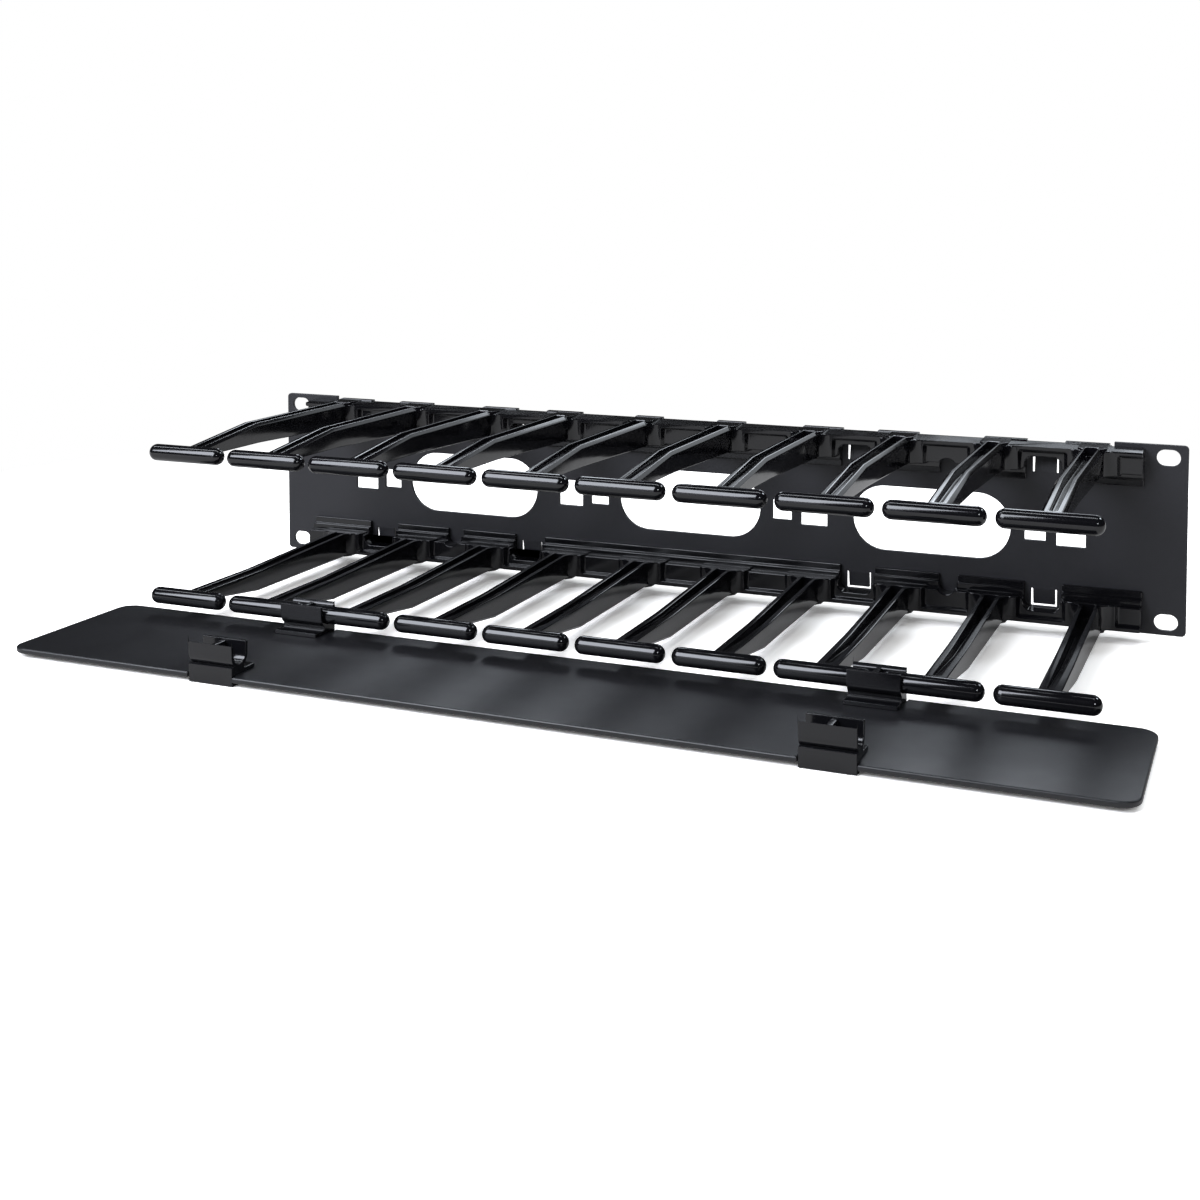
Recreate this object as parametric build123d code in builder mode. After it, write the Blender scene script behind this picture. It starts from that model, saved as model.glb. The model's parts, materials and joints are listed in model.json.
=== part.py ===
"""Horizontal cable manager, two rack units high, with two combs of fingers and a hinged cover.

All sizes are in millimetres. +X runs to the right along the rack's width, -Y points out of
the rack to the front, and +Z is up. The origin is the centre of the four mounting slots, on
the rear face of the panel. A height called "out" is a distance away from the middle plane
Z = 0, so it holds for the top row and, mirrored, for the bottom row. A distance called
"depth" is measured forwards from the front face of the panel.
"""

import os
from math import acos, asin, cos, degrees, radians, sin, sqrt

from build123d import *

# Panel: a punched sheet
panel_length = 482.6
panel_height = 88.1
sheet = 2.0
panel_corner = 2.0

# Mounting slots, to the rack's hole pattern
slot_spacing_x = 465.1
slot_spacing_z = 76.2
slot_length = 10.5
slot_width = 7.5

# Windows for cables, and the square holes that follow each one outwards
window_spacing = 123.8
window_length = 76.2
window_height = 31.75
small_square = 9.8
small_square_reach = 49.5
large_square = 13.4
large_square_reach = 65.95

# Cut-down edges, which the combs hook over
relief_length = 417.2
relief_depth = 4.05
relief_corner = 1.0

# Lanced tabs, bent back out of the sheet behind each square notch of the combs
lance_width = 11.9
lance_height = 8.3
lance_slit = 0.9
lance_end_slit = 0.6
lance_inset = 0.25
lance_bend = 10.0

# Combs: the strip against the panel
finger_pitch = 44.45
finger_count = 10
strip_overhang = 22.225
edge_gap = 0.05
strip_rise = 2.2
strip_height = 17.9
foot_height = 3.35
foot_depth = 2.1
ledge_height = 3.0
ledge_depth = 4.6
recess_depth = 9.0
strip_depth = 11.6
lip_height = 2.15
lip_slope = 0.45
strip_fall = 0.85

# Notches in the strip: square ones at the tabs, round ones between them
square_notch_width = 17.0
square_notch_height = 11.9
square_notch_chamfer = 2.3
round_notch_width = 8.8
round_notch_height = 8.3

# Pads at the finger roots, and the coring pockets behind them
pad_height = 11.55
pad_half_width = 11.0
pad_bevel = 1.5
root_flare = 6.0
flare_sink = 0.6
pocket_wall = 2.0

# Hooks over the panel's edge
hook_rise = 0.65
hook_thickness = 1.8
hook_gap = 0.1
hook_reach = 3.2
hook_short = 6.6
hook_long = 13.5
hook_plain = 7.4

# Fingers
finger_rise = 0.45
root_half_width = 6.5
root_taper_end = 14.8
finger_width = 10.0
finger_tip_width = 9.6
neck_start_width = 6.2
neck_width = 13.0
neck_height = 3.2
channel_root_width = 5.4
channel_tip_width = 2.7
finger_web = 1.5
web_drop = 4.3
web_tip_drop = 7.75
parting_drop = 7.45
inner_draft = 5.0
outer_draft = 0.5
kink_depth = 96.0
tip_drop = 6.35
mid_height = 10.1
edge_chamfer = 1.5
channel_end_gap = 4.5

# Cross bars at the finger tips
bar_diameter = 8.0
bar_gap = 3.25
bar_depth = 148.5
bar_drop = 8.05
bar_end_bevel = 0.8

# Cover: a flat plate that swings on the lower bars and closes onto the upper ones
cover_length = 482.0
cover_thickness = 2.5
cover_corner = 8.0
cover_margin = 6.45
cover_drop = 8.2
cover_edge_chamfer = 0.5

# Clips: four alike, two swinging on the lower bars and two free
clip_pitches = 3
clip_width = 22.0
clip_side_gap = 0.2
clip_end_gap = 0.15
bore_clearance = 0.06
clip_wall = 1.84
clip_rise = 4.75
clip_draft = 0.3
clip_lead_in = 1.25
clip_ledge = 4.5
clip_neck = 3.2
upper_lip = 1.85
lower_lip = 1.95
lip_reach = 10.8
hem_wall = 1.6
hem_radius = 1.0
rib_clearance = 0.425
rib_rise = 4.0

# Levels and places that follow from the sizes above
panel_front = -sheet
half_height = panel_height / 2
relief_out = half_height - relief_depth
seat_out = relief_out + edge_gap
strip_out = relief_out + strip_rise
strip_inner = strip_out - strip_height
ledge_inner = strip_inner + foot_height
recess_inner = ledge_inner + ledge_height
lip_out = strip_out - strip_fall
pad_inner = lip_out - pad_height
finger_out = strip_out + finger_rise
web_out = finger_out - web_drop
web_tip_out = finger_out - web_tip_drop
parting_out = finger_out - parting_drop
bar_out = finger_out - bar_drop
bar_radius = bar_diameter / 2
bar_y = panel_front - bar_depth
strip_length = (finger_count - 1) * finger_pitch + 2 * strip_overhang
finger_places = [(i - (finger_count - 1) / 2) * finger_pitch for i in range(finger_count)]
square_notch_places = [step * finger_pitch for step in (-4, -2, 2, 4)]
round_notch_places = [step * finger_pitch for step in (-3, 3)]
square_notch_floor = strip_inner + square_notch_height
clip_places = [-clip_pitches * finger_pitch, clip_pitches * finger_pitch]
clip_half_gap = bar_radius + bore_clearance
clip_radius = clip_half_gap + clip_wall


def depth(distance):
    """Y of a point this far in front of the panel's front face."""
    return panel_front - distance


os.makedirs("parts", exist_ok=True)


def save(piece, name):
    """Label one finished piece and write it to its own STEP file."""
    piece.part.label = name
    export_step(piece.part, f"parts/{name}.step")


# One lanced tab of the top row: a strip of the sheet bent back about its inner end
lance_outer = square_notch_floor - lance_inset
lance_inner = lance_outer - lance_height
tab_width = lance_width - 2 * lance_slit
tab_length = lance_height - lance_end_slit
bend = radians(lance_bend)
tab_tip_y = panel_front + tab_length * sin(bend)
tab_tip_out = lance_inner + tab_length * cos(bend)

with BuildPart() as tab:
    with BuildSketch(Plane.YZ.offset(-tab_width / 2)):
        with BuildLine():
            Polyline(
                (panel_front, lance_inner - sheet),
                (panel_front, lance_inner),
                (tab_tip_y, tab_tip_out),
                (tab_tip_y + sheet * cos(bend), tab_tip_out - sheet * sin(bend)),
                (0, lance_inner),
                (0, lance_inner - sheet),
                close=True,
            )
        make_face()
    extrude(amount=tab_width)
lower_tab = tab.part.mirror(Plane.XY)

# Square holes: each window is followed outwards by a small one and a large one
square_holes = []
for side in (-1, 1):
    for window_x in (0, side * window_spacing):
        square_holes.append((window_x + side * small_square_reach, small_square))
        square_holes.append((window_x + side * large_square_reach, large_square))

# Panel: one punched sheet, with its windows in the middle and a row of tabs for each comb
with BuildPart() as panel:
    with BuildSketch(Plane.XZ):
        RectangleRounded(panel_length, panel_height, panel_corner)
        with Locations((0, half_height), (0, -half_height)):
            RectangleRounded(relief_length, 2 * relief_depth, relief_corner, mode=Mode.SUBTRACT)
        with GridLocations(slot_spacing_x, slot_spacing_z, 2, 2):
            SlotOverall(slot_length, slot_width, mode=Mode.SUBTRACT)
        with GridLocations(window_spacing, 0, 3, 1):
            SlotOverall(window_length, window_height, mode=Mode.SUBTRACT)
        for hole_x, hole_size in square_holes:
            with Locations((hole_x, 0)):
                Rectangle(hole_size, hole_size, mode=Mode.SUBTRACT)
        for x in square_notch_places:
            with GridLocations(1, lance_outer + lance_inner, 1, 2):
                with Locations((x, 0)):
                    Rectangle(lance_width, lance_height, mode=Mode.SUBTRACT)
    extrude(amount=sheet)
    with Locations([(x, 0, 0) for x in square_notch_places]):
        add(tab.part)
        add(lower_tab)
save(panel, "panel")

# One finger of the top row, standing at X = 0: an H section that narrows towards its tip
neck_depth = bar_depth - bar_radius
flare_end = strip_depth + root_flare
flare_centre = finger_width / 2 - flare_sink + root_flare
bar_half = (finger_pitch - bar_gap) / 2

# Its outline from above, drawn counter-clockwise so that the drafts run inwards
with BuildSketch() as finger_plan:
    with BuildLine():
        Polyline(
            (0, depth(bar_depth)),
            (finger_tip_width / 2, depth(bar_depth)),
            (finger_width / 2, depth(flare_end)),
            (finger_width / 2, depth(0)),
            (0, depth(0)),
        )
        mirror(about=Plane.YZ)
    make_face()

# The two mould halves meet at the parting plane, the inner one is drawn upside down
with BuildPart() as outer_half:
    with BuildSketch(Plane.XY.offset(parting_out)):
        add(finger_plan.sketch)
    extrude(amount=strip_height, taper=outer_draft)
with BuildPart() as inner_half:
    with BuildSketch(Plane.XY.offset(-parting_out)):
        add(finger_plan.sketch)
    extrude(amount=strip_height, taper=inner_draft)

# Its two channels. The web between them, which makes the H section, bends down at the kink
channel_end = neck_depth - channel_end_gap
with BuildPart() as channels:
    with BuildSketch(Plane.XY.offset(strip_inner)):
        with BuildLine():
            Polyline(
                (channel_root_width / 2, depth(strip_depth)),
                (-channel_root_width / 2, depth(strip_depth)),
                (-channel_tip_width / 2, depth(channel_end)),
                (channel_tip_width / 2, depth(channel_end)),
                close=True,
            )
        make_face()
    extrude(amount=finger_out + finger_web - strip_inner)
    with BuildSketch(Plane.YZ):
        with BuildLine():
            Polyline(
                (depth(0), web_out),
                (depth(kink_depth), web_out),
                (depth(channel_end), web_tip_out),
                (depth(channel_end), web_tip_out - finger_web),
                (depth(kink_depth), web_out - finger_web),
                (depth(0), web_out - finger_web),
                close=True,
            )
        make_face()
    extrude(amount=finger_width, both=True, mode=Mode.SUBTRACT)

with BuildPart() as finger:
    add(outer_half.part)
    add(inner_half.part.mirror(Plane.XY))
    with BuildSketch(Plane.YZ):
        with BuildLine():
            Polyline(
                (depth(edge_gap), seat_out),
                (depth(edge_gap), finger_out),
                (depth(kink_depth), finger_out),
                (depth(bar_depth), finger_out - tip_drop),
                (depth(bar_depth), finger_out - mid_height),
                (depth(kink_depth), finger_out - mid_height),
                (depth(flare_end), pad_inner),
                (depth(recess_depth), pad_inner),
                (depth(recess_depth), seat_out),
                close=True,
            )
        make_face()
    extrude(amount=finger_width, both=True, mode=Mode.INTERSECT)
    # The two long outer edges are bevelled, first to the kink and then down the slope
    with BuildSketch(Plane((0, 0, finger_out), x_dir=(1, 0, 0), z_dir=(0, -1, 0))):
        with GridLocations(finger_width, 0, 2, 1):
            Rectangle(edge_chamfer * sqrt(2), edge_chamfer * sqrt(2), rotation=45)
    extrude(amount=kink_depth - panel_front, mode=Mode.SUBTRACT)
    slope_run = (0, kink_depth - bar_depth, -tip_drop)
    with BuildSketch(Plane((0, depth(kink_depth), finger_out), x_dir=(1, 0, 0), z_dir=slope_run)):
        with GridLocations(finger_width, 0, 2, 1):
            Rectangle(edge_chamfer * sqrt(2), edge_chamfer * sqrt(2), rotation=45)
    extrude(amount=bar_depth - kink_depth, mode=Mode.SUBTRACT)
    # Pad at the root, flaring into the strip's face
    with BuildSketch(Plane.XY.offset(pad_inner)):
        with BuildLine():
            Polyline(
                (0, depth(ledge_depth)),
                (pad_half_width + pad_bevel, depth(ledge_depth)),
                (pad_half_width + pad_bevel, depth(recess_depth)),
                (pad_half_width, depth(strip_depth)),
                (flare_centre, depth(strip_depth)),
            )
            CenterArc((flare_centre, depth(flare_end)), root_flare, 90, 90)
            Line((flare_centre - root_flare, depth(flare_end)), (0, depth(flare_end)))
            mirror(about=Plane.YZ)
        make_face()
    extrude(amount=pad_height)
    # The finger's outer edge widens on top of the pad
    with BuildSketch(Plane.XY.offset(finger_out)):
        with BuildLine():
            Polyline(
                (0, depth(edge_gap)),
                (root_half_width, depth(edge_gap)),
                (root_half_width, depth(strip_depth)),
                (finger_width / 2 - flare_sink, depth(root_taper_end)),
                (0, depth(root_taper_end)),
            )
            mirror(about=Plane.YZ)
        make_face()
    extrude(amount=lip_out - finger_out)
    # Both channels are cut through the finger and the pad
    add(channels.part, mode=Mode.SUBTRACT)
    # The finger widens again into the cross bar, which has bevelled ends
    with BuildSketch(Plane.XY.offset(finger_out - mid_height)):
        with BuildLine():
            Polyline(
                (0, depth(bar_depth)),
                (neck_width / 2, depth(bar_depth)),
                (neck_start_width / 2, depth(neck_depth - bar_radius)),
                (0, depth(neck_depth - bar_radius)),
            )
            mirror(about=Plane.YZ)
        make_face()
    extrude(amount=neck_height)
    with BuildSketch(Plane.XY.offset(bar_out)):
        with BuildLine():
            Polyline(
                (0, bar_y),
                (bar_half, bar_y),
                (bar_half, bar_y - bar_radius + bar_end_bevel),
                (bar_half - bar_end_bevel, bar_y - bar_radius),
                (0, bar_y - bar_radius),
            )
            mirror(about=Plane.YZ)
        make_face()
    revolve(axis=Axis((0, bar_y, bar_out), (1, 0, 0)))


def hook_sides(x):
    """Left and right ends of the hook behind the finger at x, longer towards a square notch."""
    near = [place for place in square_notch_places if abs(place - x) < finger_pitch]
    if not near:
        return x - hook_plain, x + hook_plain
    if near[0] > x:
        return x - hook_short, x + hook_long
    return x - hook_long, x + hook_short


# Outline of a square notch, drawn as deep again beyond the strip's open edge
with BuildSketch() as square_notch:
    Rectangle(square_notch_width, 2 * square_notch_height)
    chamfer(square_notch.vertices(), square_notch_chamfer)

# Top comb: the stepped strip with its notches, pockets, hooks and fingers, in one moulding
with BuildPart() as top_comb:
    with BuildSketch(Plane.YZ.offset(-strip_length / 2)):
        with BuildLine():
            Polyline(
                (depth(0), strip_inner),
                (depth(foot_depth), strip_inner),
                (depth(foot_depth), ledge_inner),
                (depth(ledge_depth), ledge_inner),
                (depth(ledge_depth), recess_inner),
                (depth(recess_depth), recess_inner),
                (depth(recess_depth), lip_out - lip_height - lip_slope),
                (depth(strip_depth), lip_out - lip_height),
                (depth(strip_depth), lip_out),
                (depth(0), strip_out),
                close=True,
            )
        make_face()
    extrude(amount=strip_length)
    # The outer skin runs on over the cut-down edge, between the panel's full-height ends
    with BuildSketch(Plane.XY.offset(seat_out)):
        with Locations((0, panel_front / 2)):
            Rectangle(relief_length - 2 * relief_corner, sheet)
    extrude(amount=strip_out - seat_out)
    # Notches, open towards the middle of the panel
    with BuildSketch(Plane.XZ.offset(sheet)):
        with Locations([(x, strip_inner) for x in square_notch_places]):
            add(square_notch.sketch)
        with Locations([(x, strip_inner) for x in round_notch_places]):
            SlotOverall(2 * round_notch_height, round_notch_width, rotation=90)
    extrude(amount=strip_depth, mode=Mode.SUBTRACT)
    with Locations([(x, 0, 0) for x in finger_places]):
        add(finger.part)
    # Coring pockets in the back, two behind each pad
    pocket_inner = recess_inner + pocket_wall
    pocket_outer = relief_out - pocket_wall
    pocket_middle = (pocket_inner + pocket_outer) / 2
    pocket_start = pocket_wall / 2
    pocket_end = finger_pitch / 2 - square_notch_width / 2 - pocket_wall
    with BuildSketch(Plane.XZ.offset(sheet)):
        for x in finger_places:
            for side in (-1, 1):
                with Locations((x + side * (pocket_start + pocket_end) / 2, pocket_middle)):
                    Rectangle(pocket_end - pocket_start, pocket_outer - pocket_inner)
    extrude(amount=recess_depth - pocket_wall, mode=Mode.SUBTRACT)
    # Hooks over the edge, which hold the strip to the panel from behind
    for x in finger_places:
        left, right = hook_sides(x)
        with BuildSketch(Plane.YZ.offset(left)):
            with BuildLine():
                Polyline(
                    (depth(edge_gap), seat_out),
                    (depth(edge_gap), strip_out + hook_rise),
                    (hook_gap + hook_thickness, strip_out + hook_rise),
                    (hook_gap + hook_thickness, relief_out - hook_reach + hook_thickness / 2),
                    (hook_gap + hook_thickness / 2, relief_out - hook_reach),
                    (hook_gap, relief_out - hook_reach),
                    (hook_gap, seat_out),
                    close=True,
                )
            make_face()
        extrude(amount=right - left)
save(top_comb, "top_comb")

# Bottom comb: the same moulding, turned half round
with BuildPart() as bottom_comb:
    add(top_comb.part.rotate(Axis.Y, 180))
save(bottom_comb, "bottom_comb")

# Cover: lies open below the lower bars, which its clips swing on
free_y = bar_y - 2 * bar_out
cover_rear = bar_y + cover_margin
cover_front = free_y - cover_margin
cover_top = -bar_out - cover_drop
notch_depth = cover_margin - (clip_radius - hem_wall - clip_end_gap)
notch_width = clip_width + 2 * clip_side_gap

with BuildPart() as cover:
    with BuildSketch(Plane.XY.offset(cover_top)):
        with Locations((0, (cover_rear + cover_front) / 2)):
            RectangleRounded(cover_length, cover_rear - cover_front, cover_corner)
        with Locations([(x, edge) for x in clip_places for edge in (cover_rear, cover_front)]):
            Rectangle(notch_width, 2 * notch_depth, mode=Mode.SUBTRACT)
    extrude(amount=-cover_thickness)
    chamfer(cover.faces().filter_by(Axis.Z).edges(), cover_edge_chamfer)
save(cover, "cover")

# Clip: drawn about its bar's axis, with its closed side and the plate's edge towards +Y
mouth_half = clip_half_gap + clip_draft
plate_bottom = -cover_drop - cover_thickness
hem_bottom = plate_bottom - lower_lip
lip_top = upper_lip - cover_drop
ledge_angle = degrees(asin(clip_ledge / clip_radius))
neck_angle = degrees(acos(clip_neck / clip_radius))
rib_thickness = bar_gap - 2 * rib_clearance

with BuildPart() as clip:
    with BuildSketch(Plane.YZ.offset(-clip_width / 2)):
        with BuildLine():
            throat = CenterArc((0, 0), clip_half_gap, 180, 180)
            closed_wall = CenterArc((0, 0), clip_radius, -ledge_angle, ledge_angle)
            away_wall = CenterArc((0, 0), clip_radius, 180, neck_angle)
            Polyline(
                throat @ 1,
                (mouth_half, clip_rise - clip_lead_in),
                (mouth_half + clip_lead_in, clip_rise),
                (clip_radius, clip_rise),
                closed_wall @ 1,
            )
            Polyline(
                closed_wall @ 0,
                (clip_radius, -clip_ledge),
                (clip_radius, hem_bottom),
                (-lip_reach, hem_bottom),
                (-lip_reach, plate_bottom),
                (clip_radius - hem_wall, plate_bottom),
                (clip_radius - hem_wall, -cover_drop),
                (-lip_reach, -cover_drop),
                (-lip_reach, lip_top),
                (-clip_neck, lip_top),
                away_wall @ 1,
            )
            Polyline(
                away_wall @ 0,
                (-clip_radius, clip_rise),
                (-mouth_half, clip_rise),
                throat @ 0,
            )
        make_face()
    extrude(amount=clip_width)
    # Rib that stands in the gap between two bars and keeps the clip in its place
    with BuildSketch(Plane.YZ.offset(-rib_thickness / 2)):
        with Locations((0, (rib_rise - clip_half_gap) / 2)):
            Rectangle(2 * clip_half_gap, rib_rise + clip_half_gap)
    extrude(amount=rib_thickness)
    hem_corner = clip.edges().filter_by(Axis.X).sort_by(Axis.Z)[:2].sort_by(Axis.Y)[-1]
    fillet(hem_corner, hem_radius)

for kind, clip_y, turn in (("hinge", bar_y, 0), ("free", free_y, 180)):
    for side, x in zip(("left", "right"), clip_places):
        with BuildPart() as placed_clip:
            with Locations(Location((x, clip_y, -bar_out), (0, 0, turn))):
                add(clip.part)
        save(placed_clip, f"{kind}_clip_{side}")
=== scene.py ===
"""Looks of a horizontal cable manager: a slotted panel, two combs of fingers and a swinging cover.

Sizes are in metres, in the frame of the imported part: X along the panel, -Y to the front, Z up.
Each piece of the object is a class. It starts from its CAD node, whose edges are rounded as
moulding, punching and coating leave them, and adds what the solids leave plain.
"""

import json
import logging
from collections.abc import Callable
from dataclasses import dataclass, field
from enum import Enum
from math import pi, radians

import bpy
from mathutils import Matrix, Vector


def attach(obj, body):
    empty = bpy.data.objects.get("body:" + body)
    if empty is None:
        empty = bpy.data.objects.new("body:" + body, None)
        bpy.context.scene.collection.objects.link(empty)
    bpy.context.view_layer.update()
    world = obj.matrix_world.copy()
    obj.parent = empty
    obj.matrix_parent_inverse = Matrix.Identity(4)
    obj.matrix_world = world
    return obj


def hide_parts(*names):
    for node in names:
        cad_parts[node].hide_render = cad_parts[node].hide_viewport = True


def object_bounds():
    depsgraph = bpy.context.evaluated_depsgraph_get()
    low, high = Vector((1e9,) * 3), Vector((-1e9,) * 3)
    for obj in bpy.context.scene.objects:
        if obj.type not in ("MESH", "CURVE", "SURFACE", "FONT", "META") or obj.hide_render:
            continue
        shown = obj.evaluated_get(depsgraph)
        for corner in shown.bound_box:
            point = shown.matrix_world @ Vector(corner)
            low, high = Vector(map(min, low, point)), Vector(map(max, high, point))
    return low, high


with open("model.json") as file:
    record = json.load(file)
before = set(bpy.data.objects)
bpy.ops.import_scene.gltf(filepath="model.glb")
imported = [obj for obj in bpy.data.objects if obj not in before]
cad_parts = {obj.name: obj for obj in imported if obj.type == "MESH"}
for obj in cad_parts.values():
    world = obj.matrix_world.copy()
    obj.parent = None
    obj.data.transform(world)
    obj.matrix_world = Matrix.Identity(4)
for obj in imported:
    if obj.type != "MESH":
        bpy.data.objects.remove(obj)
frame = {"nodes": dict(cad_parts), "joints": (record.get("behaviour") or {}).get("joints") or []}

CAD_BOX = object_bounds()
MM = 0.001
WHITE = (1.0, 1.0, 1.0, 1.0)

# Triangles of a CAD mesh that lie within this angle are one flat face.
FLAT_ANGLE = radians(0.5)
# Two faces that meet at more than this angle have a sharp edge between them, which is rounded.
SHARP_ANGLE = radians(28)
# Two faces that meet at less than this angle are shaded as one curved surface.
SMOOTH_ANGLE = radians(32)
# Two sides of a face that turn by an angle in this range meet in a corner.
CORNER_TURNS = (radians(40), radians(140))
# Most of the length of a side that the rounding of the side next to it may take.
LARGEST_SHARE = 0.42
# Most of a noise's values lie in this range.
NOISE_MIDDLE = (0.3, 0.7)

log = logging.getLogger("cable_manager")


class Slot(Enum):
    """The record's material slots."""

    PANEL = "panel_coat"
    COMB = "comb_plastic"
    COVER = "cover_plastic"
    CLIP = "clip_plastic"


class Body(Enum):
    """The bodies that pieces ride on."""

    BASE = "base"
    COVER = "swing_cover"


class Row(Enum):
    """The two rows of fingers, with the sign of the side of the middle plane they are on."""

    TOP = 1
    BOTTOM = -1

    @property
    def node(self) -> str:
        """Name of the row's CAD node."""
        return f"{self.name.lower()}_comb"


def node_input(node: bpy.types.Node, name: str) -> bpy.types.NodeSocket:
    """The enabled input of a node with this name.

    Args:
        node: A shader node.
        name: The name that the socket shows.

    Returns:
        The socket. A Mix node has several of one name, of which one is enabled.
    """
    return next(s for s in node.inputs if s.name == name and s.enabled)


def node_output(node: bpy.types.Node) -> bpy.types.NodeSocket:
    """The first enabled output of a node."""
    return next(s for s in node.outputs if s.enabled)


@dataclass
class NodeGraph:
    """Short ways to build one material's or world's nodes.

    Attributes:
        tree: The node tree that is being filled.
    """

    tree: bpy.types.NodeTree

    def add(
        self, kind: str, inputs: dict[str, object] | None = None, **settings: object,
    ) -> bpy.types.Node:
        """Adds one node.

        Args:
            kind: Blender's type name of the node.
            inputs: Socket names with either a plain value or the socket to link from.
            **settings: Attributes of the node itself, set first.

        Returns:
            The new node.
        """
        node = self.tree.nodes.new(kind)
        for name, value in settings.items():
            setattr(node, name, value)
        for name, value in (inputs or {}).items():
            socket = node_input(node, name)
            if isinstance(value, bpy.types.NodeSocket):
                self.tree.links.new(value, socket)
            else:
                socket.default_value = value
        return node

    def noise(self, coords: bpy.types.NodeSocket, scale: float, detail: float) -> bpy.types.NodeSocket:
        """A noise value between 0 and 1.

        Args:
            coords: Where the noise is read.
            scale: Grains per metre.
            detail: Octaves of finer grain.

        Returns:
            The value's socket.
        """
        node = self.add("ShaderNodeTexNoise", {"Vector": coords, "Scale": scale, "Detail": detail})
        return node.outputs["Fac"]

    def spread(self, value: bpy.types.NodeSocket, low: float, high: float) -> bpy.types.NodeSocket:
        """Stretches the middle of a noise value over a range.

        Args:
            value: A noise value.
            low: What the dark side of the noise becomes.
            high: What the light side of it becomes.

        Returns:
            The stretched value's socket.
        """
        node = self.add("ShaderNodeMapRange", {
            "Value": value, "From Min": NOISE_MIDDLE[0], "From Max": NOISE_MIDDLE[1],
            "To Min": low, "To Max": high,
        })
        return node.outputs["Result"]

    def diffuse(self, colour: tuple[float, float, float], share: float) -> bpy.types.NodeSocket:
        """A matt surface.

        Args:
            colour: Its colour, linear.
            share: What the colour is multiplied by, which may be more than 1.

        Returns:
            The shader's socket.
        """
        node = self.add("ShaderNodeBsdfDiffuse", {"Color": (*(c * share for c in colour), 1)})
        return node.outputs["BSDF"]

    def glow(self, level: float) -> bpy.types.NodeSocket:
        """A surface that gives white light of this level, where 1 is plain white."""
        return self.add("ShaderNodeEmission", {"Color": WHITE, "Strength": level}).outputs["Emission"]

    def backdrop(self, level: float) -> bpy.types.NodeSocket:
        """A world of even white light of this level, where 1 is plain white."""
        return self.add("ShaderNodeBackground", {"Color": WHITE, "Strength": level}).outputs["Background"]

    def both(self, first: bpy.types.NodeSocket, second: bpy.types.NodeSocket) -> bpy.types.NodeSocket:
        """Adds the light of two shaders.

        Args:
            first: The one shader.
            second: The other shader.

        Returns:
            The added shader's socket.
        """
        node = self.add("ShaderNodeAddShader")
        self.tree.links.new(first, node.inputs[0])
        self.tree.links.new(second, node.inputs[1])
        return node.outputs["Shader"]

    def mix(
        self, factor: bpy.types.NodeSocket, first: bpy.types.NodeSocket, second: bpy.types.NodeSocket,
    ) -> bpy.types.NodeSocket:
        """Mixes two shaders.

        Args:
            factor: Share of the second shader.
            first: The shader where the factor is 0.
            second: The shader where the factor is 1.

        Returns:
            The mixed shader's socket.
        """
        node = self.add("ShaderNodeMixShader", {"Fac": factor})
        self.tree.links.new(first, node.inputs[1])
        self.tree.links.new(second, node.inputs[2])
        return node.outputs["Shader"]


@dataclass(frozen=True)
class Finish:
    """A moulded or coated black surface.

    Attributes:
        name: Name of the material.
        colour: Its middle colour, linear.
        colour_spread: Share by which patches are darker or lighter.
        patch_scale: Patches of colour and gloss per metre.
        roughness: Lowest and highest roughness over those patches.
        specular: Specular level of the surface.
        grain_scale: Grains of its fine texture per metre.
        grain_height: Height of the grain, in metres.
        swell_scale: Slow waves of the surface per metre.
        swell_height: Height of the waves, in metres.
        gloss_ratio: Patches of gloss along one patch of colour.
    """

    name: str
    colour: tuple[float, float, float]
    colour_spread: float
    patch_scale: float
    roughness: tuple[float, float]
    specular: float
    grain_scale: float
    grain_height: float
    swell_scale: float
    swell_height: float
    gloss_ratio: float = 3.0

    def material(self) -> bpy.types.Material:
        """Builds the finish's material.

        Returns:
            The material, or the one made before under the same name.
        """
        made = bpy.data.materials.get(self.name)
        if made:
            return made
        material = bpy.data.materials.new(self.name)
        material.use_nodes = True
        material.node_tree.nodes.clear()
        graph = NodeGraph(material.node_tree)
        coords = graph.add("ShaderNodeTexCoord").outputs["Object"]
        patches = graph.noise(coords, self.patch_scale, detail=3)
        dark = [c * (1 - self.colour_spread) for c in self.colour]
        light = [c * (1 + self.colour_spread) for c in self.colour]
        colour = graph.add("ShaderNodeMix", {
            "Factor": graph.spread(patches, 0, 1), "A": (*dark, 1), "B": (*light, 1),
        }, data_type="RGBA")
        worn = graph.noise(coords, self.patch_scale * self.gloss_ratio, detail=4)
        swell = graph.add("ShaderNodeBump", {
            "Height": graph.noise(coords, self.swell_scale, detail=1), "Distance": self.swell_height,
        })
        grain = graph.add("ShaderNodeBump", {
            "Height": graph.noise(coords, self.grain_scale, detail=2), "Distance": self.grain_height,
            "Normal": swell.outputs["Normal"],
        })
        surface = graph.add("ShaderNodeBsdfPrincipled", {
            "Base Color": node_output(colour), "Roughness": graph.spread(worn, *self.roughness),
            "Specular IOR Level": self.specular, "Normal": grain.outputs["Normal"],
        })
        graph.add("ShaderNodeOutputMaterial", {"Surface": surface.outputs["BSDF"]})
        return material


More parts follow.
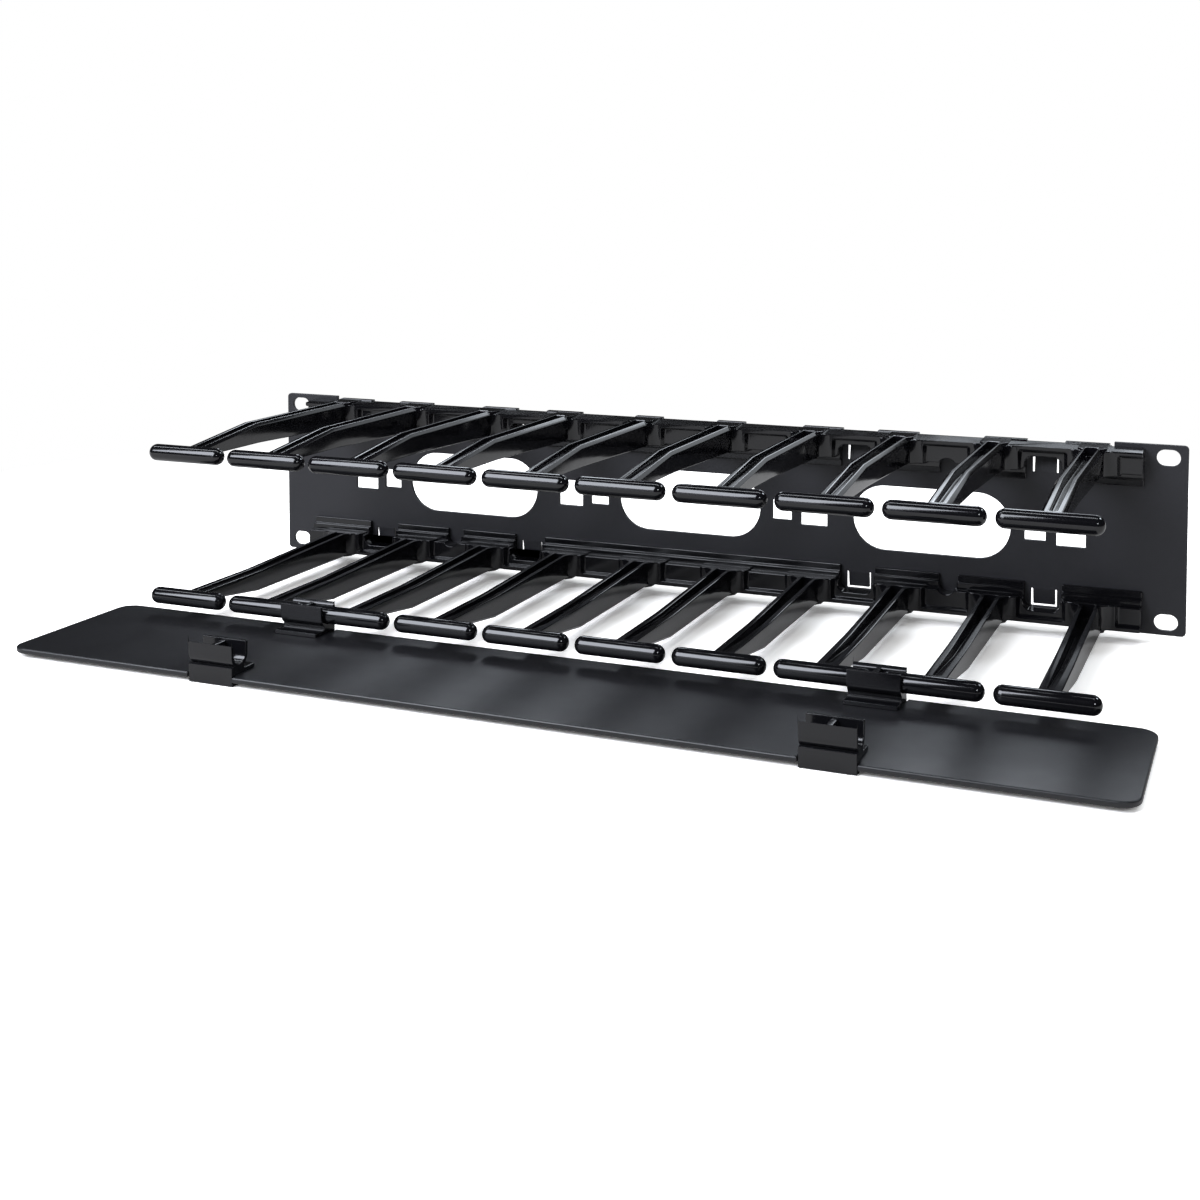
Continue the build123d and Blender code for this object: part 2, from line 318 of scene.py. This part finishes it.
POWDER_COAT = Finish(
    name="satin_powder_coat", colour=(0.014, 0.014, 0.0168), colour_spread=0.06, patch_scale=18,
    roughness=(0.4, 0.47), specular=0.4, grain_scale=1400, grain_height=0.00003,
    swell_scale=60, swell_height=0.00004,
)
GLOSS_MOULDING = Finish(
    name="gloss_moulding", colour=(0.0028, 0.0028, 0.0036), colour_spread=0.1, patch_scale=30,
    roughness=(0.09, 0.14), specular=0.5, grain_scale=900, grain_height=0.000001,
    swell_scale=90, swell_height=0.000004,
)
SATIN_SHEET = Finish(
    name="satin_sheet", colour=(0.0065, 0.0065, 0.008), colour_spread=0.06, patch_scale=14,
    roughness=(0.33, 0.39), specular=0.5, grain_scale=2200, grain_height=0.000015,
    swell_scale=25, swell_height=0.00003,
)
CLIP_MOULDING = Finish(
    name="clip_moulding", colour=(0.0036, 0.0036, 0.0045), colour_spread=0.1, patch_scale=60,
    roughness=(0.13, 0.19), specular=0.5, grain_scale=1200, grain_height=0.000001,
    swell_scale=120, swell_height=0.000004,
)


def pick(*objects: bpy.types.Object) -> None:
    """Selects only these objects and makes the first one active.

    Args:
        *objects: What the next operators act on.
    """
    bpy.ops.object.select_all(action="DESELECT")
    for obj in objects:
        obj.select_set(True)
    bpy.context.view_layer.objects.active = objects[0]


def apply_modifiers(obj: bpy.types.Object) -> None:
    """Applies all modifiers of an object, in their order.

    Args:
        obj: The object, whose mesh takes over what its modifiers do.
    """
    pick(obj)
    for modifier in list(obj.modifiers):
        bpy.ops.object.modifier_apply(modifier=modifier.name)


def select_faces(obj: bpy.types.Object, chosen: Callable[[bpy.types.MeshPolygon], bool]) -> None:
    """Opens a piece in edit mode with only some of its faces selected, and leaves it open.

    Args:
        obj: The piece.
        chosen: Tells of a face whether it is wanted.
    """
    pick(obj)
    bpy.ops.object.mode_set(mode="EDIT")
    bpy.ops.mesh.select_mode(type="FACE")
    bpy.ops.mesh.select_all(action="DESELECT")
    bpy.ops.object.mode_set(mode="OBJECT")
    for face in obj.data.polygons:
        face.select = chosen(face)
    bpy.ops.object.mode_set(mode="EDIT")


def merged_copy(node: str, name: str, weld: float = 0.002 * MM) -> bpy.types.Object:
    """A copy of a CAD node, its loose triangles merged into whole faces.

    Args:
        node: Name of the CAD node.
        name: Name of the new piece.
        weld: Corners closer than this become one.

    Returns:
        The piece, which stands at the origin on no body yet.
    """
    cad = frame["nodes"][node]
    obj = bpy.data.objects.new(name, cad.data.copy())
    bpy.context.scene.collection.objects.link(obj)
    obj.data.materials.clear()
    pick(obj)
    if obj.data.has_custom_normals:
        bpy.ops.mesh.customdata_custom_splitnormals_clear()
    bpy.ops.object.mode_set(mode="EDIT")
    bpy.ops.mesh.select_all(action="SELECT")
    bpy.ops.mesh.remove_doubles(threshold=weld)
    bpy.ops.mesh.dissolve_limited(angle_limit=FLAT_ANGLE)
    bpy.ops.object.mode_set(mode="OBJECT")
    return obj


def edge_widths(obj: bpy.types.Object, wanted: float) -> list[float]:
    """Finds how wide each edge of a piece can be rounded without running into the next one.

    Args:
        obj: The piece.
        wanted: The width where there is room for it, in metres.

    Returns:
        The width for each edge, 0 for edges that aren't sharp.
    """
    mesh = obj.data
    faces_at: list[list[int]] = [[] for _ in mesh.edges]
    room = [wanted] * len(mesh.edges)
    for face in mesh.polygons:
        edges = [mesh.loops[i].edge_index for i in face.loop_indices]
        corners = [mesh.vertices[i].co for i in face.vertices]
        sides = [corners[(i + 1) % len(corners)] - corners[i] for i in range(len(corners))]
        for i, edge in enumerate(edges):
            faces_at[edge].append(face.index)
            for k in (i - 1, (i + 1) % len(sides)):
                turn = sides[i].angle(sides[k], 0)
                if CORNER_TURNS[0] < turn < CORNER_TURNS[1]:
                    room[edge] = min(room[edge], LARGEST_SHARE * sides[k].length)
    for edge, around in enumerate(faces_at):
        if len(around) != 2:
            room[edge] = 0
            continue
        first, second = (mesh.polygons[i].normal for i in around)
        if first.angle(second, 0) < SHARP_ANGLE:
            room[edge] = 0
    return room


def round_edges(obj: bpy.types.Object, radius: float, segments: int = 2) -> None:
    """Rounds every sharp edge of a piece, smooths its curved faces and keeps its flat ones even.

    Args:
        obj: The piece.
        radius: Width of the rounding, in metres.
        segments: Faces across the rounding.
    """
    weights = obj.data.attributes.new("bevel_weight_edge", "FLOAT", "EDGE")
    for i, width in enumerate(edge_widths(obj, radius)):
        weights.data[i].value = width / radius
    bevel = obj.modifiers.new("round_edges", "BEVEL")
    bevel.width = radius
    bevel.segments = segments
    bevel.limit_method = "WEIGHT"
    bevel.use_clamp_overlap = False
    bevel.miter_outer = "MITER_ARC"
    apply_modifiers(obj)
    pick(obj)
    bpy.ops.object.shade_smooth_by_angle(angle=SMOOTH_ANGLE)
    flat = obj.modifiers.new("flat_faces", "WEIGHTED_NORMAL")
    flat.keep_sharp = True
    apply_modifiers(obj)


def dress(obj: bpy.types.Object, finish: Finish, body: Body) -> None:
    """Gives a piece its finish and the body it rides on.

    Args:
        obj: The piece.
        finish: What its surface is made of.
        body: The body it moves with.
    """
    obj.data.materials.clear()
    obj.data.materials.append(finish.material())
    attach(obj, body.value)


@dataclass
class CrossBar:
    """A bar with round ends across a finger's tip.

    Attributes:
        radius: Radius of the bar and of its round ends.
        length: Length over the ends.
        sides: Faces round the bar.
        end_rings: Rings of faces on each round end.
        end_share: Share of the radius that the rounding of an end takes. The rest stays flat.
    """

    radius: float = 4.0 * MM
    length: float = 41.2 * MM
    sides: int = 40
    end_rings: int = 9
    end_share: float = 0.96

    def build(self) -> bpy.types.Object:
        """Makes one bar from a cylinder whose two end rims are rounded right over.

        Returns:
            The bar, lying along X with its middle at the origin.
        """
        bpy.ops.object.select_all(action="DESELECT")
        bpy.ops.mesh.primitive_cylinder_add(
            vertices=self.sides, radius=self.radius, depth=self.length, rotation=(0, pi / 2, 0),
        )
        bar = bpy.context.object
        bpy.ops.object.transform_apply(location=True, rotation=True, scale=True)
        select_faces(bar, lambda face: abs(face.normal.x) > 0.5)
        bpy.ops.mesh.bevel(offset=self.radius * self.end_share, segments=self.end_rings, profile=0.5)
        bpy.ops.object.mode_set(mode="OBJECT")
        bpy.ops.object.shade_smooth()
        return bar


@dataclass
class Comb:
    """One row of fingers: strip, hooks, fingers and cross bars in one moulding.

    Attributes:
        row: Which of the two rows it is.
        edge: Rounding of the moulded edges.
        pitch: Distance between fingers.
        count: Number of fingers.
        bar: The cross bar at each finger's tip.
        bar_root: How far each finger runs on into its bar.
        bar_slack: How far outside the bar a corner still counts as a corner of the bar.
        weld: Corners of the CAD comb closer than this become one.
    """

    row: Row
    edge: float = 0.6 * MM
    pitch: float = 44.45 * MM
    count: int = 10
    bar: CrossBar = field(default_factory=CrossBar)
    bar_root: float = 1.5 * MM
    bar_slack: float = 0.02 * MM
    weld: float = 0.06 * MM

    @property
    def axis(self) -> Vector:
        """A point on the common axis of the row's bars. The cover hangs on the lower row's."""
        hinge = Vector(frame["joints"][0]["pos_m"])
        return Vector((0, hinge.y, -hinge.z * self.row.value))

    def build(self) -> bpy.types.Object:
        """Makes the comb with rounded edges and round-ended bars.

        Returns:
            The piece that stands for the CAD comb.
        """
        comb = merged_copy(self.row.node, f"{self.row.node}_moulding", self.weld)
        self._take_off_bars(comb)
        round_edges(comb, self.edge)
        pick(comb, *self._bars())
        bpy.ops.object.join()
        dress(comb, GLOSS_MOULDING, Body.BASE)
        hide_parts(self.row.node)
        return comb

    def _take_off_bars(self, comb: bpy.types.Object) -> None:
        """Removes the solid's plain bars and closes each finger's end inside its new bar.

        Args:
            comb: The merged copy of the CAD comb.
        """
        axis = self.axis
        reach = self.bar.radius + self.bar_slack
        on_bar = [(v.co - axis).yz.length < reach for v in comb.data.vertices]
        select_faces(comb, lambda face: all(on_bar[i] for i in face.vertices))
        bpy.ops.mesh.delete(type="FACE")
        bpy.ops.mesh.select_mode(type="EDGE")
        bpy.ops.mesh.select_non_manifold(
            extend=False, use_wire=False, use_multi_face=False, use_non_contiguous=False,
            use_verts=False,
        )
        bpy.ops.mesh.extrude_edges_move(TRANSFORM_OT_translate={"value": (0, -self.bar_root, 0)})
        bpy.ops.mesh.fill_holes(sides=0)
        bpy.ops.object.mode_set(mode="OBJECT")

    def _bars(self) -> list[bpy.types.Object]:
        """Makes the row's bars, each a copy of one.

        Returns:
            The bars, in their places.
        """
        first = self.bar.build()
        bars = []
        for i in range(self.count):
            bar = first.copy()
            bar.data = first.data.copy()
            place = self.axis + Vector(((i - (self.count - 1) / 2) * self.pitch, 0, 0))
            bar.data.transform(Matrix.Translation(place))
            bpy.context.scene.collection.objects.link(bar)
            bars.append(bar)
        bpy.data.objects.remove(first)
        return bars


@dataclass
class Panel:
    """The punched and powder-coated sheet.

    Attributes:
        edge: Rounding that the coating leaves on the punched edges.
    """

    edge: float = 0.3 * MM

    def build(self) -> bpy.types.Object:
        """Makes the panel with rounded edges.

        Returns:
            The piece that stands for the CAD panel.
        """
        panel = merged_copy("panel", "panel_sheet")
        round_edges(panel, self.edge)
        dress(panel, POWDER_COAT, Body.BASE)
        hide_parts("panel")
        return panel


@dataclass
class SwingCover:
    """The flat cover and the four clips on it.

    Attributes:
        sheet_edge: Rounding of the cover's edges.
        clip_edge: Rounding of the clips' edges.
        clips: CAD nodes of the clips.
    """

    sheet_edge: float = 0.22 * MM
    clip_edge: float = 0.42 * MM
    clips: tuple[str, ...] = ("hinge_clip_left", "hinge_clip_right", "free_clip_left", "free_clip_right")

    def build(self) -> list[bpy.types.Object]:
        """Makes the cover and its clips with rounded edges.

        Returns:
            The pieces that stand for the CAD nodes.
        """
        sheet = merged_copy("cover", "cover_sheet")
        round_edges(sheet, self.sheet_edge)
        dress(sheet, SATIN_SHEET, Body.COVER)
        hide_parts("cover")
        return [sheet] + [self._clip(node) for node in self.clips]

    def _clip(self, node: str) -> bpy.types.Object:
        """Makes one clip.

        Args:
            node: The clip's CAD node.

        Returns:
            The clip.
        """
        clip = merged_copy(node, f"{node}_moulding")
        round_edges(clip, self.clip_edge)
        dress(clip, CLIP_MOULDING, Body.COVER)
        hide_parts(node)
        return clip


@dataclass(frozen=True)
class Softbox:
    """One studio lamp with a flat, even face.

    Attributes:
        name: Name of the lamp.
        place: Where its middle is.
        target: What it points at.
        size: Width and height of its face.
        power: Its power in watts.
        colour: Colour of its light.
    """

    name: str
    place: tuple[float, float, float]
    target: tuple[float, float, float]
    size: tuple[float, float]
    power: float
    colour: tuple[float, float, float]

    def build(self) -> bpy.types.Object:
        """Makes the lamp.

        Returns:
            The lamp, which the camera itself doesn't see.
        """
        data = bpy.data.lights.new(self.name, "AREA")
        data.shape = "RECTANGLE"
        data.size, data.size_y = self.size
        data.energy = self.power
        data.color = self.colour
        lamp = bpy.data.objects.new(self.name, data)
        lamp.location = self.place
        aim = Vector(self.target) - Vector(self.place)
        lamp.rotation_euler = aim.to_track_quat("-Z", "Y").to_euler()
        lamp.visible_camera = False
        bpy.context.scene.collection.objects.link(lamp)
        return lamp


@dataclass
class Studio:
    """Floor, background, lamps and camera.

    Attributes:
        floor_size: Side of the square floor.
        floor_colour: Warm white of the floor, which tints its shadows.
        floor_throw: Share of the floor's colour that the object is lit by and mirrors.
        floor_gain: Times the floor's colour that the camera sees.
        floor_glow: What the camera sees in the floor's deepest shadow.
        shadow_reach: Distances from the middle between which the floor turns plain white to the camera.
        room_level: Brightness of the dark room that the object mirrors.
        fill_level: Brightness of the soft light that the room gives to matt surfaces.
        lamps: The softboxes.
        camera_place: Where the camera stands.
        camera_turn: How far it looks to the left of straight ahead, in degrees.
        camera_tilt: How far it looks down, in degrees.
        sensor: Width of the camera's sensor in millimetres.
        lens: Focal length in millimetres.
        shift: Upward shift of the lens, as a share of the picture. A negative one is downward.
    """

    floor_size: float = 9.0
    floor_colour: tuple[float, float, float] = (0.8, 0.78, 0.755)
    floor_throw: float = 0.65
    floor_gain: float = 2.0
    floor_glow: float = 0.05
    shadow_reach: tuple[float, float] = (0.42, 0.6)
    room_level: float = 0.022
    fill_level: float = 0.5
    camera_place: tuple[float, float, float] = (287.0 * MM, -800.2 * MM, 166.55 * MM)
    camera_turn: float = 22.85
    camera_tilt: float = 3.0
    sensor: float = 36.0
    lens: float = 50.07
    shift: float = -0.28
    lamps: tuple[Softbox, ...] = (
        # In front, mirrored in the panel, the bars and the clips.
        Softbox("front_left", (-0.86, -1.48, 1.22), (0, -0.1, 0.05), (1.35, 1.3), 62, (0.87, 0.91, 1)),
        Softbox("front_low", (-0.64, -1.6, 0.25), (0, -0.1, 0), (0.7, 0.35), 1.2, (0.87, 0.91, 1)),
        Softbox("front_right", (1.15, -1.35, 0.87), (0, -0.1, 0), (0.28, 0.22), 5.5, (0.9, 0.95, 1)),
        # Above and behind, mirrored in the cover and in the upper faces of the fingers.
        Softbox("overhead", (-0.45, -0.05, 1.3), (-0.45, -0.05, 0), (2.2, 0.1), 7.5, (0.9, 0.94, 1)),
        Softbox("back_low", (-0.55, 1.66, 0.8), (-0.55, -0.1, 0), (1.3, 0.2), 0.9, (0.86, 0.92, 1)),
        Softbox("back_low_right", (0.0, 1.7, 0.78), (0.0, -0.1, 0), (0.6, 0.3), 1.1, (0.86, 0.92, 1)),
        Softbox("back_foot", (-0.03, 1.75, 0.48), (-0.03, -0.1, 0), (0.4, 0.24), 0.14, (0.86, 0.92, 1)),
        Softbox("back_left", (-1.0, 1.66, 1.24), (0, -0.2, 0), (0.36, 0.45), 3.4, (0.86, 0.92, 1)),
        Softbox("back_middle", (-0.17, 1.75, 1.16), (0, -0.2, 0), (0.24, 0.42), 1.9, (0.86, 0.92, 1)),
        Softbox("back_right", (0.45, 1.84, 0.9), (0, -0.1, 0), (0.7, 0.8), 1.6, (0.88, 0.94, 1)),
        Softbox("right_accent", (1.04, 0.77, 1.18), (0, -0.1, 0), (0.25, 0.35), 6.5, (0.84, 0.92, 1)),
    )

    def build(self) -> None:
        """Makes the whole studio."""
        self._floor()
        self._room()
        for lamp in self.lamps:
            lamp.build()
        self._camera()

    def _floor(self) -> None:
        """Makes the plain white floor, which keeps the object's shadow."""
        bpy.ops.object.select_all(action="DESELECT")
        bpy.ops.mesh.primitive_plane_add(size=self.floor_size, location=(0, 0, CAD_BOX[0].z))
        floor = bpy.context.object
        floor.name = "studio_floor"
        floor.data.materials.append(self._floor_material())

    def _floor_material(self) -> bpy.types.Material:
        """Builds the floor's material.

        Returns:
            The material. The object is lit by a plain matt floor and mirrors it. The camera, also
            through clear faces, sees it brighter, with its shadows, and plain white further out.
        """
        material = bpy.data.materials.new("white_floor")
        material.use_nodes = True
        material.node_tree.nodes.clear()
        graph = NodeGraph(material.node_tree)
        plain = graph.diffuse(self.floor_colour, self.floor_throw)
        near = graph.both(graph.diffuse(self.floor_colour, self.floor_gain), graph.glow(self.floor_glow))
        distance = graph.add("ShaderNodeVectorMath", {
            "Vector": graph.add("ShaderNodeTexCoord").outputs["Object"],
        }, operation="LENGTH")
        beyond = graph.add("ShaderNodeMapRange", {
            "Value": distance.outputs["Value"],
            "From Min": self.shadow_reach[0], "From Max": self.shadow_reach[1],
        }, interpolation_type="SMOOTHSTEP")
        seen = graph.mix(beyond.outputs["Result"], near, graph.glow(1.0))
        path = graph.add("ShaderNodeLightPath").outputs
        surface = graph.mix(path["Is Transmission Ray"], plain, seen)
        surface = graph.mix(path["Is Camera Ray"], surface, seen)
        graph.add("ShaderNodeOutputMaterial", {"Surface": surface})
        return material

    def _room(self) -> None:
        """Makes the room: white to the camera, dim in mirror images, a soft fill to matt surfaces."""
        scene = bpy.context.scene
        scene.world = bpy.data.worlds.new("studio_room")
        scene.world.use_nodes = True
        scene.world.node_tree.nodes.clear()
        graph = NodeGraph(scene.world.node_tree)
        white = graph.backdrop(1.0)
        path = graph.add("ShaderNodeLightPath").outputs
        surface = graph.mix(
            path["Is Diffuse Ray"], graph.backdrop(self.room_level), graph.backdrop(self.fill_level),
        )
        surface = graph.mix(path["Is Transmission Ray"], surface, white)
        surface = graph.mix(path["Is Camera Ray"], surface, white)
        graph.add("ShaderNodeOutputWorld", {"Surface": surface})
        scene.view_settings.view_transform = "Standard"

    def _camera(self) -> None:
        """Makes the camera at the photograph's place and angle."""
        data = bpy.data.cameras.new("photo_camera")
        data.lens = self.lens
        data.sensor_width = self.sensor
        data.shift_y = self.shift
        camera = bpy.data.objects.new("photo_camera", data)
        camera.location = self.camera_place
        camera.rotation_euler = (radians(90 - self.camera_tilt), 0, radians(self.camera_turn))
        bpy.context.scene.collection.objects.link(camera)
        bpy.context.scene.camera = camera


def report(obj: bpy.types.Object) -> None:
    """Logs one finished piece with its number of faces."""
    log.info("%s: %d faces", obj.name, len(obj.data.polygons))


def main() -> None:
    """Builds the object piece by piece, then the studio around it."""
    logging.basicConfig(level=logging.INFO, format="%(name)s: %(message)s")
    report(Panel().build())
    for row in Row:
        report(Comb(row).build())
    for piece in SwingCover().build():
        report(piece)
    Studio().build()


if __name__ == "__main__":
    main()
